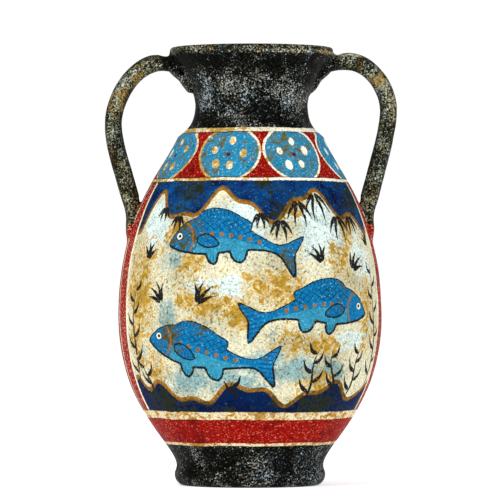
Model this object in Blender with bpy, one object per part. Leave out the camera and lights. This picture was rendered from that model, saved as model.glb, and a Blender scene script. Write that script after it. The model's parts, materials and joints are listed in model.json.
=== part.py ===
"""Two-handled ceramic vase, thrown hollow, with both handles luted on before the firing.

Metres, +Z up. The origin is the centre of the ring that the vase stands on.
The painted front faces -Y, and the handles stand at -X and +X.
"""

import math

import bmesh
import bpy
from mathutils import Vector
from mathutils.geometry import interpolate_bezier

# Foot: a rolled edge over a narrow ring, with a shallow turned recess underneath
REST_RADIUS = 0.0375
FOOT_RADIUS = 0.0431
FOOT_ROLL_HEIGHT = 0.0063
ANKLE_RADIUS = 0.0420
ANKLE_HEIGHT = 0.0114
RECESS_RADIUS = 0.0285
RECESS_DEPTH = 0.0020
RECESS_SLOPE = 0.0030

# Body
BELLY_RADIUS = 0.0755
BELLY_HEIGHT = 0.0965
SHOULDER_RADIUS = 0.0418
SHOULDER_HEIGHT = 0.1989
SHOULDER_LEAN = math.radians(112)
ANKLE_PULL = 0.0113
BELLY_PULL_BELOW = 0.0526
BELLY_PULL_ABOVE = 0.0600
SHOULDER_PULL = 0.0220

# Neck and mouth
NECK_RADIUS = 0.0323
NECK_HEIGHT = 0.2175
NECK_BASE_LEAN = math.radians(139)
NECK_BASE_PULL = 0.0061
NECK_PULL_BELOW = 0.0120
NECK_PULL_ABOVE = 0.0070
FLARE_RADIUS = 0.0425
FLARE_LEAN = math.radians(60)
FLARE_PULL = 0.0120
LIP_RADIUS = 0.0474
LIP_INNER_RADIUS = 0.0395
LIP_TAPER = 0.0009
LIP_HEIGHT = 0.0052
LIP_UNDERSIDE = 0.0043
LIP_OUTER_ROUND = 0.0019
LIP_LOWER_ROUND = 0.0012
LIP_INNER_ROUND = 0.0022
RIM_HEIGHT = 0.2500

# Wall
WALL = 0.0045
FLOOR_THICKNESS = 0.0075
FLOOR_CORNER = 0.0110

# Handles: an oval coil of clay on an arched path, measured along its centre.
# The two were bent by hand, so each has its own crown and elbow.
HANDLE_THICKNESS = 0.0098
HANDLE_WIDTH = 0.0140
HANDLE_ROOT_THICKNESS = 0.0072
HANDLE_ROOT_HEIGHT = 0.2385
HANDLE_ROOT_PROUD = 0.0012
HANDLE_ROOT_LEAN = math.radians(24)
LEFT_CROWN_RADIUS = 0.0522
LEFT_CROWN_HEIGHT = 0.2411
LEFT_REACH = 0.0784
LEFT_ELBOW_HEIGHT = 0.2060
LEFT_CROWN_PULL = 0.0130
LEFT_ELBOW_PULL = 0.0160
RIGHT_CROWN_RADIUS = 0.0560
RIGHT_CROWN_HEIGHT = 0.2424
RIGHT_REACH = 0.0797
RIGHT_ELBOW_HEIGHT = 0.2145
RIGHT_CROWN_PULL = 0.0128
RIGHT_ELBOW_PULL = 0.0128
HANDLE_ELBOW_PULL_BELOW = 0.0130
HANDLE_LANDING_HEIGHT = 0.1600
HANDLE_LANDING_PULL = 0.0170
HANDLE_LANDING_LEAN = math.radians(-107)
HANDLE_LANDING_PROUD = 0.0045

# Each handle's tail, pressed flat and wide against the body
TAIL_LENGTH = 0.0200
TAIL_WIDTH = 0.0190
TAIL_THICKNESS = 0.0026
TAIL_BED = 0.0010

# Clay smeared from under each handle down the side of the neck
SMEAR_TOP_HEIGHT = 0.2395
SMEAR_FOOT_HEIGHT = 0.2240
SMEAR_TOP_THICKNESS = 0.0076
SMEAR_FOOT_THICKNESS = 0.0046
SMEAR_TOP_PROUD = 0.0026
SMEAR_FOOT_PROUD = 0.0002
SMEAR_TOP_WIDTH = 0.0170
SMEAR_FOOT_WIDTH = 0.0110

# Facets
ROUND_SIDES = 56
HANDLE_SIDES = 12

# Paint, as linear red, green and blue, and the heights where one colour meets the next
BLACK_SLIP = (0.045, 0.047, 0.042, 1.0)
CREAM_SLIP = (0.660, 0.560, 0.330, 1.0)
BLUE_PAINT = (0.060, 0.260, 0.440, 1.0)
RED_PAINT = (0.320, 0.035, 0.020, 1.0)
SLIP_ROUGHNESS = 0.55
FOOT_PAINT_TOP = 0.0250
RED_BAND_TOP = 0.0388
PICTURE_TOP = 0.1738
NECK_PAINT_FOOT = 0.2010


def clear_scene():
    for obj in list(bpy.data.objects):
        bpy.data.objects.remove(obj)


def heading(lean):
    """Unit vector in the (radius, height) plane: 0 points outwards, a quarter turn points up."""
    return Vector((math.cos(lean), math.sin(lean)))


def curve(start, start_lean, start_pull, end, end_lean, end_pull, steps):
    """Points of a smooth line that leaves start and reaches end along the two leans."""
    start, end = Vector(start), Vector(end)
    points = interpolate_bezier(
        (*start, 0),
        (*(start + heading(start_lean) * start_pull), 0),
        (*(end - heading(end_lean) * end_pull), 0),
        (*end, 0),
        steps + 1,
    )
    return [point.to_2d() for point in points]


def rounded_corner(before, corner, after, radius, steps):
    """Points of the arc that rounds a corner between two straight edges."""
    before, corner, after = Vector(before), Vector(corner), Vector(after)
    back = (before - corner).normalized()
    ahead = (after - corner).normalized()
    half_angle = back.angle(ahead) / 2
    tangent_length = radius / math.tan(half_angle)
    centre = corner + (back + ahead).normalized() * radius / math.sin(half_angle)
    first = corner + back * tangent_length - centre
    last = corner + ahead * tangent_length - centre
    turn = first.angle_signed(last)
    arc = []
    for step in range(steps + 1):
        angle = -turn * step / steps
        arc.append(centre + Vector((
            first.x * math.cos(angle) - first.y * math.sin(angle),
            first.x * math.sin(angle) + first.y * math.cos(angle),
        )))
    return arc


def chain(*stretches):
    """Joins stretches of points, leaving out the points that meet."""
    joined = []
    for stretch in stretches:
        for point in stretch:
            if not joined or (point - joined[-1]).length > 1e-5:
                joined.append(point)
    return joined


def foot_outline():
    up = math.pi / 2
    rest = (REST_RADIUS, 0)
    roll = (FOOT_RADIUS, FOOT_ROLL_HEIGHT)
    ankle = (ANKLE_RADIUS, ANKLE_HEIGHT)
    rise = ANKLE_HEIGHT - FOOT_ROLL_HEIGHT
    return chain(
        [
            Vector((0, RECESS_DEPTH)),
            Vector((RECESS_RADIUS - RECESS_SLOPE, RECESS_DEPTH)),
            Vector((RECESS_RADIUS, 0)),
        ],
        curve(rest, 0, (FOOT_RADIUS - REST_RADIUS) * 0.6, roll, up, FOOT_ROLL_HEIGHT * 0.45, 4),
        curve(roll, up, rise * 0.4, ankle, up, rise * 0.4, 3),
    )


def body_outline():
    """Outer line from the ankle to the underside of the lip."""
    up = math.pi / 2
    ankle = (ANKLE_RADIUS, ANKLE_HEIGHT)
    belly = (BELLY_RADIUS, BELLY_HEIGHT)
    shoulder = (SHOULDER_RADIUS, SHOULDER_HEIGHT)
    neck = (NECK_RADIUS, NECK_HEIGHT)
    flare = (FLARE_RADIUS, RIM_HEIGHT - LIP_HEIGHT - LIP_UNDERSIDE)
    return chain(
        curve(ankle, up, ANKLE_PULL, belly, up, BELLY_PULL_BELOW, 10),
        curve(belly, up, BELLY_PULL_ABOVE, shoulder, SHOULDER_LEAN, SHOULDER_PULL, 9),
        curve(shoulder, NECK_BASE_LEAN, NECK_BASE_PULL, neck, up, NECK_PULL_BELOW, 4),
        curve(neck, up, NECK_PULL_ABOVE, flare, FLARE_LEAN, FLARE_PULL, 5),
    )


def wall_inside(line):
    """The line moved inwards by the wall's thickness, square to its own run."""
    moved = []
    for index, point in enumerate(line):
        ahead = line[min(index + 1, len(line) - 1)]
        behind = line[max(index - 1, 0)]
        run = (ahead - behind).normalized()
        moved.append(point + Vector((-run.y, run.x)) * WALL)
    return moved


def lip_outline(flare, inner_flare):
    """The rolled lip, from the flare's outer side over the top to its inner side."""
    under = Vector((LIP_RADIUS, RIM_HEIGHT - LIP_HEIGHT))
    outer = Vector((LIP_RADIUS - LIP_TAPER, RIM_HEIGHT))
    inner = Vector((LIP_INNER_RADIUS, RIM_HEIGHT))
    return chain(
        rounded_corner(flare, under, outer, LIP_LOWER_ROUND, 3),
        rounded_corner(under, outer, inner, LIP_OUTER_ROUND, 4),
        rounded_corner(outer, inner, inner_flare, LIP_INNER_ROUND, 3),
    )


def floor_outline(wall_foot, wall_lean):
    """The inside from the foot of the wall, round the corner, to the middle of the floor."""
    corner_radius = wall_foot.x - FLOOR_CORNER
    pull = FLOOR_CORNER * 0.55
    turn = curve(
        wall_foot, wall_lean, pull, (corner_radius, FLOOR_THICKNESS), math.pi, pull, 4
    )
    return chain(turn, [Vector((0, FLOOR_THICKNESS))])


def vase_outline():
    """Half of the vase's cut face, from the middle of the recess to the middle of the floor."""
    outside = body_outline()
    inside = wall_inside(outside)[::-2]
    floor_top = FLOOR_THICKNESS + FLOOR_CORNER
    inside = [point for point in inside if point.y > floor_top]
    down = inside[-1] - inside[-2]
    return chain(
        foot_outline(),
        outside,
        lip_outline(outside[-1], inside[0]),
        inside,
        floor_outline(inside[-1], math.atan2(down.y, down.x)),
    )


def surface_radius(height):
    """Outer radius of the body at a height between the ankle and the lip."""
    line = body_outline()
    for low, high in zip(line, line[1:]):
        if low.y <= height <= high.y:
            share = (height - low.y) / (high.y - low.y)
            return low.x + (high.x - low.x) * share
    return line[-1].x


def new_object(name, mesh_builder, materials):
    mesh = bpy.data.meshes.new(name)
    mesh_builder.to_mesh(mesh)
    mesh_builder.free()
    mesh.shade_smooth()
    obj = bpy.data.objects.new(name, mesh)
    for material in materials:
        mesh.materials.append(material)
    return obj


def turned_body():
    """The outline spun once round the axis."""
    builder = bmesh.new()
    points = [builder.verts.new((point.x, 0, point.y)) for point in vase_outline()]
    edges = [builder.edges.new(pair) for pair in zip(points, points[1:])]
    bmesh.ops.spin(
        builder,
        geom=points + edges,
        cent=(0, 0, 0),
        axis=(0, 0, 1),
        angle=math.tau,
        steps=ROUND_SIDES,
        use_duplicate=False,
    )
    bmesh.ops.remove_doubles(builder, verts=builder.verts, dist=1e-5)
    bmesh.ops.recalc_face_normals(builder, faces=builder.faces)
    return builder


def coil(stations, side):
    """A closed oval coil through stations of (centre, heading, thickness, width) beside the neck.

    Centres and headings lie in the (radius, height) plane. side is -1 at the left and 1 at the right.
    """
    builder = bmesh.new()
    rings = []
    for centre, run, thickness, width in stations:
        across = Vector((-run.y, run.x))
        ring = []
        for corner in range(HANDLE_SIDES):
            angle = math.tau * corner / HANDLE_SIDES
            spot = centre + across * math.cos(angle) * thickness / 2
            depth = math.sin(angle) * width / 2
            ring.append(builder.verts.new((side * spot.x, depth, spot.y)))
        rings.append(ring)
    for ring, following in zip(rings, rings[1:]):
        for corner in range(HANDLE_SIDES):
            beside = (corner + 1) % HANDLE_SIDES
            builder.faces.new(
                (ring[corner], ring[beside], following[beside], following[corner])
            )
    builder.faces.new(rings[0][::-1])
    builder.faces.new(rings[-1])
    bmesh.ops.recalc_face_normals(builder, faces=builder.faces)
    return builder


def with_headings(points, thicknesses, widths):
    """Stations for a coil, each one heading along the line."""
    stations = []
    for index, point in enumerate(points):
        run = points[min(index + 1, len(points) - 1)] - points[max(index - 1, 0)]
        stations.append((point, run.normalized(), thicknesses[index], widths[index]))
    return stations


def eased(low, high, share):
    share = min(max(share, 0), 1)
    return low + (high - low) * share * share * (3 - 2 * share)


def handle_stations(crown, elbow, crown_pull, elbow_pull):
    """The arch, from under the lip to the shoulder, and the flattened tail down the body."""
    down = -math.pi / 2
    root = (surface_radius(HANDLE_ROOT_HEIGHT) + HANDLE_ROOT_PROUD, HANDLE_ROOT_HEIGHT)
    landing = (
        surface_radius(HANDLE_LANDING_HEIGHT) + HANDLE_LANDING_PROUD, HANDLE_LANDING_HEIGHT
    )
    root_pull = (crown[0] - root[0]) * 0.35
    start = curve(root, HANDLE_ROOT_LEAN, root_pull, crown, 0, root_pull, 3)
    arch = chain(
        start,
        curve(crown, 0, crown_pull, elbow, down, elbow_pull, 9),
        curve(
            elbow, down, HANDLE_ELBOW_PULL_BELOW,
            landing, HANDLE_LANDING_LEAN, HANDLE_LANDING_PULL, 7,
        ),
    )
    thicknesses = []
    for index in range(len(arch)):
        share = index / (len(start) - 1)
        thicknesses.append(eased(HANDLE_ROOT_THICKNESS, HANDLE_THICKNESS, share))
    widths = [HANDLE_WIDTH] * len(arch)
    tail = []
    tail_steps = 5
    for step in range(1, tail_steps + 1):
        share = step / tail_steps
        height = HANDLE_LANDING_HEIGHT - TAIL_LENGTH * share
        proud = HANDLE_LANDING_PROUD * (1 - share) ** 2 - TAIL_BED * share
        tail.append(Vector((surface_radius(height) + proud, height)))
        thinning = HANDLE_THICKNESS - TAIL_THICKNESS
        thicknesses.append(TAIL_THICKNESS + thinning * (1 - share) ** 1.1)
        widths.append(eased(HANDLE_WIDTH, TAIL_WIDTH, share))
    return with_headings(arch + tail, thicknesses, widths)


def smear_stations():
    """Clay that runs from the handle's underside down the neck to a rounded end."""
    steps = 6
    points = []
    thicknesses = []
    widths = []
    for step in range(steps + 1):
        share = step / steps
        height = SMEAR_TOP_HEIGHT + (SMEAR_FOOT_HEIGHT - SMEAR_TOP_HEIGHT) * share
        proud = SMEAR_TOP_PROUD + (SMEAR_FOOT_PROUD - SMEAR_TOP_PROUD) * share
        points.append(Vector((surface_radius(height) + proud, height)))
        rounding = math.sqrt(max(1 - share ** 5, 0.04))
        thicknesses.append(eased(SMEAR_TOP_THICKNESS, SMEAR_FOOT_THICKNESS, share) * rounding)
        widths.append(eased(SMEAR_TOP_WIDTH, SMEAR_FOOT_WIDTH, share) * rounding)
    return with_headings(points, thicknesses, widths)


def material(name, colour):
    made = bpy.data.materials.new(name)
    made.use_nodes = True
    shader = made.node_tree.nodes["Principled BSDF"]
    shader.inputs["Base Color"].default_value = colour
    shader.inputs["Roughness"].default_value = SLIP_ROUGHNESS
    shader.inputs["Metallic"].default_value = 0
    return made


def paint_bands(obj):
    """Gives each face of the body the paint of the band that it lies in."""
    black, cream, blue, red = range(4)
    for face in obj.data.polygons:
        height = face.center.z
        outside = face.normal.x * face.center.x + face.normal.y * face.center.y > 0
        if not outside or height < FOOT_PAINT_TOP or height > NECK_PAINT_FOOT:
            face.material_index = black
        elif height < RED_BAND_TOP:
            face.material_index = red
        elif height < PICTURE_TOP:
            face.material_index = cream
        else:
            face.material_index = blue


def build_vase():
    scene = bpy.context.scene.collection
    paints = [
        material("black_slip", BLACK_SLIP),
        material("cream_slip", CREAM_SLIP),
        material("blue_paint", BLUE_PAINT),
        material("red_paint", RED_PAINT),
    ]
    vase = new_object("vase", turned_body(), paints)
    paint_bands(vase)
    scene.objects.link(vase)

    luted_clay = bpy.data.collections.new("luted_clay")
    scene.children.link(luted_clay)
    left_handle = handle_stations(
        (LEFT_CROWN_RADIUS, LEFT_CROWN_HEIGHT), (LEFT_REACH, LEFT_ELBOW_HEIGHT),
        LEFT_CROWN_PULL, LEFT_ELBOW_PULL,
    )
    right_handle = handle_stations(
        (RIGHT_CROWN_RADIUS, RIGHT_CROWN_HEIGHT), (RIGHT_REACH, RIGHT_ELBOW_HEIGHT),
        RIGHT_CROWN_PULL, RIGHT_ELBOW_PULL,
    )
    coils = (
        ("handle_left", left_handle, -1),
        ("handle_right", right_handle, 1),
        ("smear_left", smear_stations(), -1),
        ("smear_right", smear_stations(), 1),
    )
    for name, stations, side in coils:
        clay = new_object(name, coil(stations, side), paints[:1])
        clay.hide_render = True
        clay.display_type = "WIRE"
        luted_clay.objects.link(clay)

    union = vase.modifiers.new("lute_handles", "BOOLEAN")
    union.operation = "UNION"
    union.operand_type = "COLLECTION"
    union.collection = luted_clay
    union.solver = "EXACT"
    union.use_self = False
    return vase


clear_scene()
build_vase()
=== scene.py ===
import json
import math

import bpy
import numpy as np
from bpy.props import FloatProperty, FloatVectorProperty, IntProperty, PointerProperty
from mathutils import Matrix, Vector
from mathutils.geometry import interpolate_bezier

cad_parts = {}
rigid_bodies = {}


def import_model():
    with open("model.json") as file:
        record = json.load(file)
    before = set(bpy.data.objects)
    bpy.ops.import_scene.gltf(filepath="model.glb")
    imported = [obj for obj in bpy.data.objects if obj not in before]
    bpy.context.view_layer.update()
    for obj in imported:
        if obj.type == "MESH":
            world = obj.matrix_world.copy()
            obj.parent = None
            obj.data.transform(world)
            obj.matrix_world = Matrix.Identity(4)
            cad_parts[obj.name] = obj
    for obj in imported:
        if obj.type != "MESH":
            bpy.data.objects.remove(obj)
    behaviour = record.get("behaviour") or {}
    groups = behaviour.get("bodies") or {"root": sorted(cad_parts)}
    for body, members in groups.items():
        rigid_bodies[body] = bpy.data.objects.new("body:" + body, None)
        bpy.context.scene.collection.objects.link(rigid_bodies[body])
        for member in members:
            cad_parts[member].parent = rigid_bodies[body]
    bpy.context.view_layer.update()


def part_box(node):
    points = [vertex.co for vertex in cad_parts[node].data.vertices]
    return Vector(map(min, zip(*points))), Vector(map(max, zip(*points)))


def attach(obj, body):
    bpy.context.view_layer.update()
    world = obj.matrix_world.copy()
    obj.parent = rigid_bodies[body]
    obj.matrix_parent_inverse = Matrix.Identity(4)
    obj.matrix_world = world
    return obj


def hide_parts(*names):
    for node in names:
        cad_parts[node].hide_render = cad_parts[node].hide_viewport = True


bl_info = {
    "name": "Painted Two-Handled Vase",
    "version": (1, 0, 0),
    "blender": (4, 5, 0),
    "location": "3D Viewport > Sidebar > Vase",
    "description": "Throws, joins and paints a two-handled ceramic vase",
    "category": "Add Mesh",
}

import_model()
_, VASE_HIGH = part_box("vase")

MM = 0.001
MERGE_DISTANCE = 0.00001
UP = math.pi / 2
DOWN = -math.pi / 2
# How far a smooth line is pulled at each end to round a corner, as a share of its reach
ARC_PULL = 0.56

# Heights in millimetres where one painted band meets the next
FOOT_SLIP_TOP = 23.9
FOOT_LINE_TOP = 25.4
RED_BAND_TOP = 38.8
CREAM_BAND_TOP = 43.1
HANDLE_SLIP_FOOT = 143.5
PICTURE_TOP = 172.7
FRIEZE_FOOT = 174.3
FRIEZE_TOP = 200.9
NECK_SLIP_FOOT = 203.2

# The picture plane: millimetres round the belly from the middle of the panel, and upwards
PICTURE_RADIUS = 72.0
PANEL_EDGE = math.radians(71.5) * PICTURE_RADIUS
TAIL_LINE = math.radians(83.0) * PICTURE_RADIUS
# The depth kept where no painted shape is near
OFF_PICTURE = -60.0

# How far a painted edge fades to either side, on the wide bands and under a fine brush
BAND_FADE = 0.2
BRUSH_FADE = 0.15

# Rocks hang from the top of the picture and rise from its foot, each edge scalloped in two
# waves: mean height, long swell, its start, short swell, its start, and the rise at the sides
ROCKS_ABOVE = (159.0, 7.5, 3.75, 2.6, 2.0, -18.0)
ROCKS_BELOW = (53.5, 4.8, 2.6, 2.2, 0.0, 9.0)

# Soft patches of colour in the picture's ground: middle, half breadth and half height
OCHRE_PATCHES = (
    (-73, 113, 12, 28), (-45, 143, 15, 10), (-32, 108, 15, 11), (13, 111, 17, 11),
    (33, 80, 19, 8), (20, 160, 12, 8), (61, 150, 9, 15), (-38, 125, 9, 7), (-63, 66, 9, 11),
    (72, 106, 9, 22), (50, 132, 9, 10), (-8, 96, 10, 8), (38, 62, 12, 7), (-79, 80, 8, 16),
)
PALE_PATCHES = (
    (-3, 154, 27, 16), (42, 147, 14, 18), (-68, 148, 10, 12), (71, 126, 9, 16), (-22, 113, 16, 6),
    (54, 84, 12, 6),
)
MISTY_PATCHES = (
    (-52, 96, 6, 15), (-38, 61, 18, 9), (-50, 131, 7, 9), (-13, 60, 18, 9), (10, 69, 34, 9),
    (46, 66, 12, 6),
)
SOILED_PATCHES = (
    (14, 147, 13, 10), (11, 127, 15, 8), (-24, 94, 11, 9), (18, 84, 15, 6), (45, 68, 10, 8),
    (-45, 118, 9, 7), (58, 118, 8, 6), (-47, 166, 12, 12), (6, 170, 10, 4), (80, 160, 9, 14),
    (-62, 49, 24, 8), (-20, 44, 12, 4), (40, 48, 10, 7), (-90, 150, 8, 20), (-42, 146, 11, 9),
    (60, 148, 8, 8), (-50, 88, 6, 10),
)

# Colours that several paints share
PALE_GRIT = (0.9, 0.92, 0.86)
FISH_STAIN = (0.075, 0.070, 0.012)
FISH_GRIT = (0.25, 0.52, 0.66)

# Water weeds: root, height, lean and how many leaves
FRONDS = (
    ((-83, 60), 58, 5, 8), ((-72, 55), 17, -3, 3), ((-13, 50), 11, -2, 2), ((30, 50), 31, 6, 5),
    ((49, 53), 26, -5, 4), ((63, 51), 30, 5, 5), ((84, 58), 70, -4, 9),
)
BACK_FRONDS = (
    ((-52, 54), 44, 6, 7), ((-28, 52), 62, -5, 9), ((2, 52), 36, 4, 6), ((34, 52), 66, 6, 9),
    ((58, 54), 40, -5, 6),
)
# Loose tufts of weed: root, lean from upright in degrees and reach
TUFTS = (
    ((-56, 104), -35, 13), ((-34, 103), 30, 14), ((-70, 128), 10, 11), ((60, 122), 40, 13),
    ((38, 126), -20, 12), ((82, 136), -15, 9),
)
# Tufts that hang from the rocks: place across the picture and reach
FRINGE = ((-64, 9), (-51, 9), (2, 10), (14, 13), (27, 16), (41, 18), (55, 16), (68, 12))
INK_LAYERS = 6
INK_REACH = 6.0
# A brush stroke's width where it starts and where it is fullest, as shares of width and length
STROKE_ROOT = 0.4
STROKE_PEAK = 0.3

# Discs of the frieze: where their centres stand round the shoulder, given one by one
DISC_TURNS = (-67.0, -18.3, 27.9, 75.5, 119.0, 162.5, 206.0, 249.5)
DISC_HEIGHT = 187.7
DISC_RADIUS = 17.1
DISC_RING = 1.4
SHOULDER_SLOPE = math.radians(31.5)
# Five brushed spots in each disc: turn from the top in degrees, distance from the middle
DISC_SPOTS = ((6, 8.8), (76, 8.8), (165, 7.6), (227, 8.8), (290, 9.0))

# A swimming fish drawn straight, in hundredths of its length from the snout, back upwards
FISH_BACK = (
    (0, 0), (5, 5.5), (12, 10.5), (22, 14.5), (34, 16), (48, 14.5), (62, 11), (76, 6.8),
    (88, 3.8), (97, 3),
)
FISH_BELLY = (
    (97, -3), (88, -3.8), (74, -7), (60, -11), (46, -14), (32, -14.5), (20, -12.5), (10, -8.5),
    (3.5, -4),
)
FISH_TAIL = (
    (94, 3), (101, 6), (108, 12), (115, 17), (113.5, 9), (111, 0), (113.5, -9), (115, -17),
    (108, -12), (101, -6), (94, -3),
)
FISH_BACK_FIN = ((24, 12), (30, 19.5), (40, 22), (52, 20.5), (62, 17), (71, 14), (70, 6))
FISH_VENT_FIN = ((56, -9), (62, -17), (69, -18.5), (72, -14), (72, -5))
FISH_THROAT_FIN = ((34, -12), (38, -20), (44, -23), (47, -18), (46, -11))
FISH_BREAST_FIN = ((27, -1), (34, 1.5), (42, -1.5), (47, -7), (40, -9.5), (33, -8.5), (28, -5.5))
# The spines of three fish that swim one above the other, from snout to tail
FISH_SPINES = (
    ((-54, 137), (-38, 141), (-20, 141.5), (-2, 138), (14, 133)),
    ((70, 98), (54, 102), (36, 102.5), (18, 99.5), (2, 95.5)),
    ((-66, 84), (-50, 82), (-32, 77), (-15, 72), (1, 70)),
)


def length_property(name, description, default):
    return FloatProperty(name=name, description=description, default=default, unit="LENGTH")


class VaseSizes(bpy.types.PropertyGroup):
    height: length_property("Height", "From the standing ring to the lip's top", VASE_HIGH.z)
    belly_radius: length_property("Belly radius", "Outer, at the widest turn", 0.0752)
    neck_radius: length_property("Neck radius", "Outer, at the narrowest turn", 0.0323)
    lip_radius: length_property("Lip radius", "Outer, of the rolled lip", 0.0474)
    foot_radius: length_property("Foot radius", "Outer, of the rolled foot", 0.0431)
    wall: length_property("Wall", "Thickness of the thrown wall", 0.0045)
    handle_thickness: length_property("Handle thickness", "Seen from the front", 0.0101)
    handle_width: length_property("Handle width", "From front to back", 0.0140)
    columns: IntProperty(
        name="Columns", description="Faces round the body", default=344, min=64,
    )


def colour_property(name, description, default):
    return FloatVectorProperty(
        name=name, description=description, default=default, subtype="COLOR",
        size=3, min=0, max=1,
    )


class VaseColours(bpy.types.PropertyGroup):
    black: colour_property("Black slip", "Neck, handles and foot", (0.0010, 0.0014, 0.0009))
    white_speck: colour_property("White specks", "In the black slip", (0.74, 0.79, 0.72))
    tan_speck: colour_property("Tan specks", "In the black slip", (0.34, 0.24, 0.10))
    cream: colour_property("Cream", "Warm ground of the picture", (0.69, 0.665, 0.475))
    pale: colour_property("Pale cream", "Cooler parts of the ground", (0.66, 0.79, 0.75))
    mist: colour_property("Grey-blue", "Washed parts of the ground", (0.26, 0.42, 0.42))
    ochre: colour_property("Ochre", "Edging of the rocks", (0.32, 0.14, 0.018))
    stain: colour_property("Ochre stain", "Blotches in the ground", (0.52, 0.29, 0.016))
    deep_blue: colour_property("Deep blue", "Rocks", (0.002, 0.036, 0.150))
    navy: colour_property("Navy", "Dark parts of the rocks", (0.001, 0.006, 0.045))
    back_blue: colour_property("Back blue", "Backs of the fish", (0.003, 0.155, 0.360))
    belly_blue: colour_property("Belly blue", "Bellies of the fish", (0.032, 0.265, 0.410))
    disc_blue: colour_property("Disc blue", "Discs of the frieze", (0.012, 0.235, 0.430))
    red: colour_property("Red", "Bands and the frieze's ground", (0.29, 0.004, 0.002))
    ink: colour_property("Ink", "Brush strokes and outlines", (0.010, 0.011, 0.012))
    clay: colour_property("Bare clay", "Inside and underneath", (0.42, 0.27, 0.16))


# Lines and outlines

def heading(lean):
    """Unit vector in the (radius, height) plane: 0 points outwards, a quarter turn points up."""
    return Vector((math.cos(lean), math.sin(lean)))


def walked(line):
    """How far along the line each of its points lies."""
    return np.concatenate(([0], np.cumsum(np.hypot(*np.diff(line, axis=0).T))))


def read_off(places, reach, line):
    """The values of the line's two columns where its reach comes to these places."""
    return np.column_stack([np.interp(places, reach, line[:, axis]) for axis in range(2)])


def evenly(points, spacing):
    """The same line, with its points about one spacing apart."""
    points = np.array([tuple(point) for point in points], float)
    reach = walked(points)
    count = max(int(round(reach[-1] / spacing)), 1)
    return read_off(np.linspace(0, reach[-1], count + 1), reach, points)


def pulled(start, start_pull, end, end_pull, count, spacing):
    """Evenly spaced points of a smooth line that two pulls bend at its ends."""
    knots = (start, start + start_pull, end - end_pull, end)
    points = interpolate_bezier(*[(*knot, 0) for knot in knots], count)
    return evenly([point.to_2d() for point in points], spacing)


def curve(start, start_lean, start_pull, end, end_lean, end_pull, spacing):
    """A smooth line that leaves start and reaches end along two leans."""
    leave, arrive = heading(start_lean) * start_pull, heading(end_lean) * end_pull
    return pulled(Vector(start), leave, Vector(end), arrive, 200, spacing)


def rounded_corner(before, corner, after, radius, spacing):
    """The arc that rounds a corner between two straight edges."""
    before, corner, after = Vector(before), Vector(corner), Vector(after)
    back = (before - corner).normalized()
    ahead = (after - corner).normalized()
    reach = radius / math.tan(back.angle(ahead) / 2)
    pull = reach * ARC_PULL
    start, end = corner + back * reach, corner + ahead * reach
    return pulled(start, back * -pull, end, ahead * pull, 60, spacing)


def chain(*stretches):
    """One line from several, without the points that meet."""
    joined = [np.array(stretches[0][0], float)]
    for stretch in stretches:
        for point in np.array(stretch, float):
            if np.hypot(*(point - joined[-1])) > MERGE_DISTANCE:
                joined.append(point)
    return np.array(joined)


def smooth_line(points, closed=False, steps=8):
    """A flowing line through all the points."""
    points = np.array(points, float)
    if closed:
        padded = np.vstack((points[-1:], points, points[:2]))
    else:
        first = 2 * points[0] - points[1]
        last = 2 * points[-1] - points[-2]
        padded = np.vstack((first, points, last))
    share = np.arange(steps)[:, None] / steps
    pieces = []
    for a, b, c, d in zip(padded, padded[1:], padded[2:], padded[3:]):
        pieces.append(0.5 * (
            2 * b + (c - a) * share + (2 * a - 5 * b + 4 * c - d) * share ** 2
            + (3 * b - a - 3 * c + d) * share ** 3
        ))
    if not closed:
        pieces.append(points[-1:])
    return np.vstack(pieces)


# The thrown body

FLARE_FOOT = (0.0425, 0.2405)
SHOULDER = (0.0418, 0.1989)
ANKLE = (0.0420, 0.0114)
LIP_HEIGHT = 0.0052


def outside_line(sizes, spacing):
    """Outer line from the ankle to the underside of the lip."""
    neck = (sizes.neck_radius, 0.2175)
    belly = (sizes.belly_radius, 0.0965)
    return chain(
        curve(ANKLE, UP, 0.0113, belly, UP, 0.0526, spacing),
        curve(belly, UP, 0.0600, SHOULDER, math.radians(112), 0.0220, spacing),
        curve(SHOULDER, math.radians(139), 0.0061, neck, UP, 0.0120, spacing),
        curve(neck, UP, 0.0070, FLARE_FOOT, math.radians(60), 0.0120, spacing * 1.2),
    )


def body_line(sizes):
    """Half of the body's cut face, from the middle of the recess to the middle of the floor."""
    outside = outside_line(sizes, 1.45 * MM)
    runs = np.gradient(outside, axis=0)
    runs /= np.hypot(*runs.T)[:, None]
    inside = (outside + np.column_stack((-runs[:, 1], runs[:, 0])) * sizes.wall)[::-1]
    inside = evenly(inside[inside[:, 1] > 0.0185], 7 * MM)
    foot = (sizes.foot_radius, 0.0063)
    under = Vector((sizes.lip_radius, sizes.height - LIP_HEIGHT))
    outer = Vector((sizes.lip_radius - 0.0009, sizes.height))
    inner = Vector((0.0395, sizes.height))
    fall = inside[-1] - inside[-2]
    return chain(
        [(0, 0.002), (0.012, 0.002), (0.0255, 0.002), (0.0285, 0)],
        curve((0.0375, 0), 0, 0.0034, foot, UP, 0.0028, 0.9 * MM),
        curve(foot, UP, 0.0020, ANKLE, UP, 0.0020, 0.9 * MM),
        outside,
        rounded_corner(outside[-1], under, outer, 0.0012, 0.6 * MM),
        rounded_corner(under, outer, inner, 0.0019, 0.6 * MM),
        rounded_corner(outer, inner, inside[0], 0.0022, 0.8 * MM),
        inside,
        curve(
            inside[-1], math.atan2(fall[1], fall[0]), 0.006, (inside[-1][0] - 0.011, 0.0075),
            math.pi, 0.006, 2.5 * MM,
        ),
        [(0.015, 0.0075), (0, 0.0075)],
    )


def only(*objects):
    """Selects these objects alone, the last one active."""
    bpy.ops.object.select_all(action="DESELECT")
    for obj in objects:
        obj.select_set(True)
        bpy.context.view_layer.objects.active = obj


def added(operator, **settings):
    """The object that an add operator makes."""
    only()
    operator(**settings)
    return bpy.context.object


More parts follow.
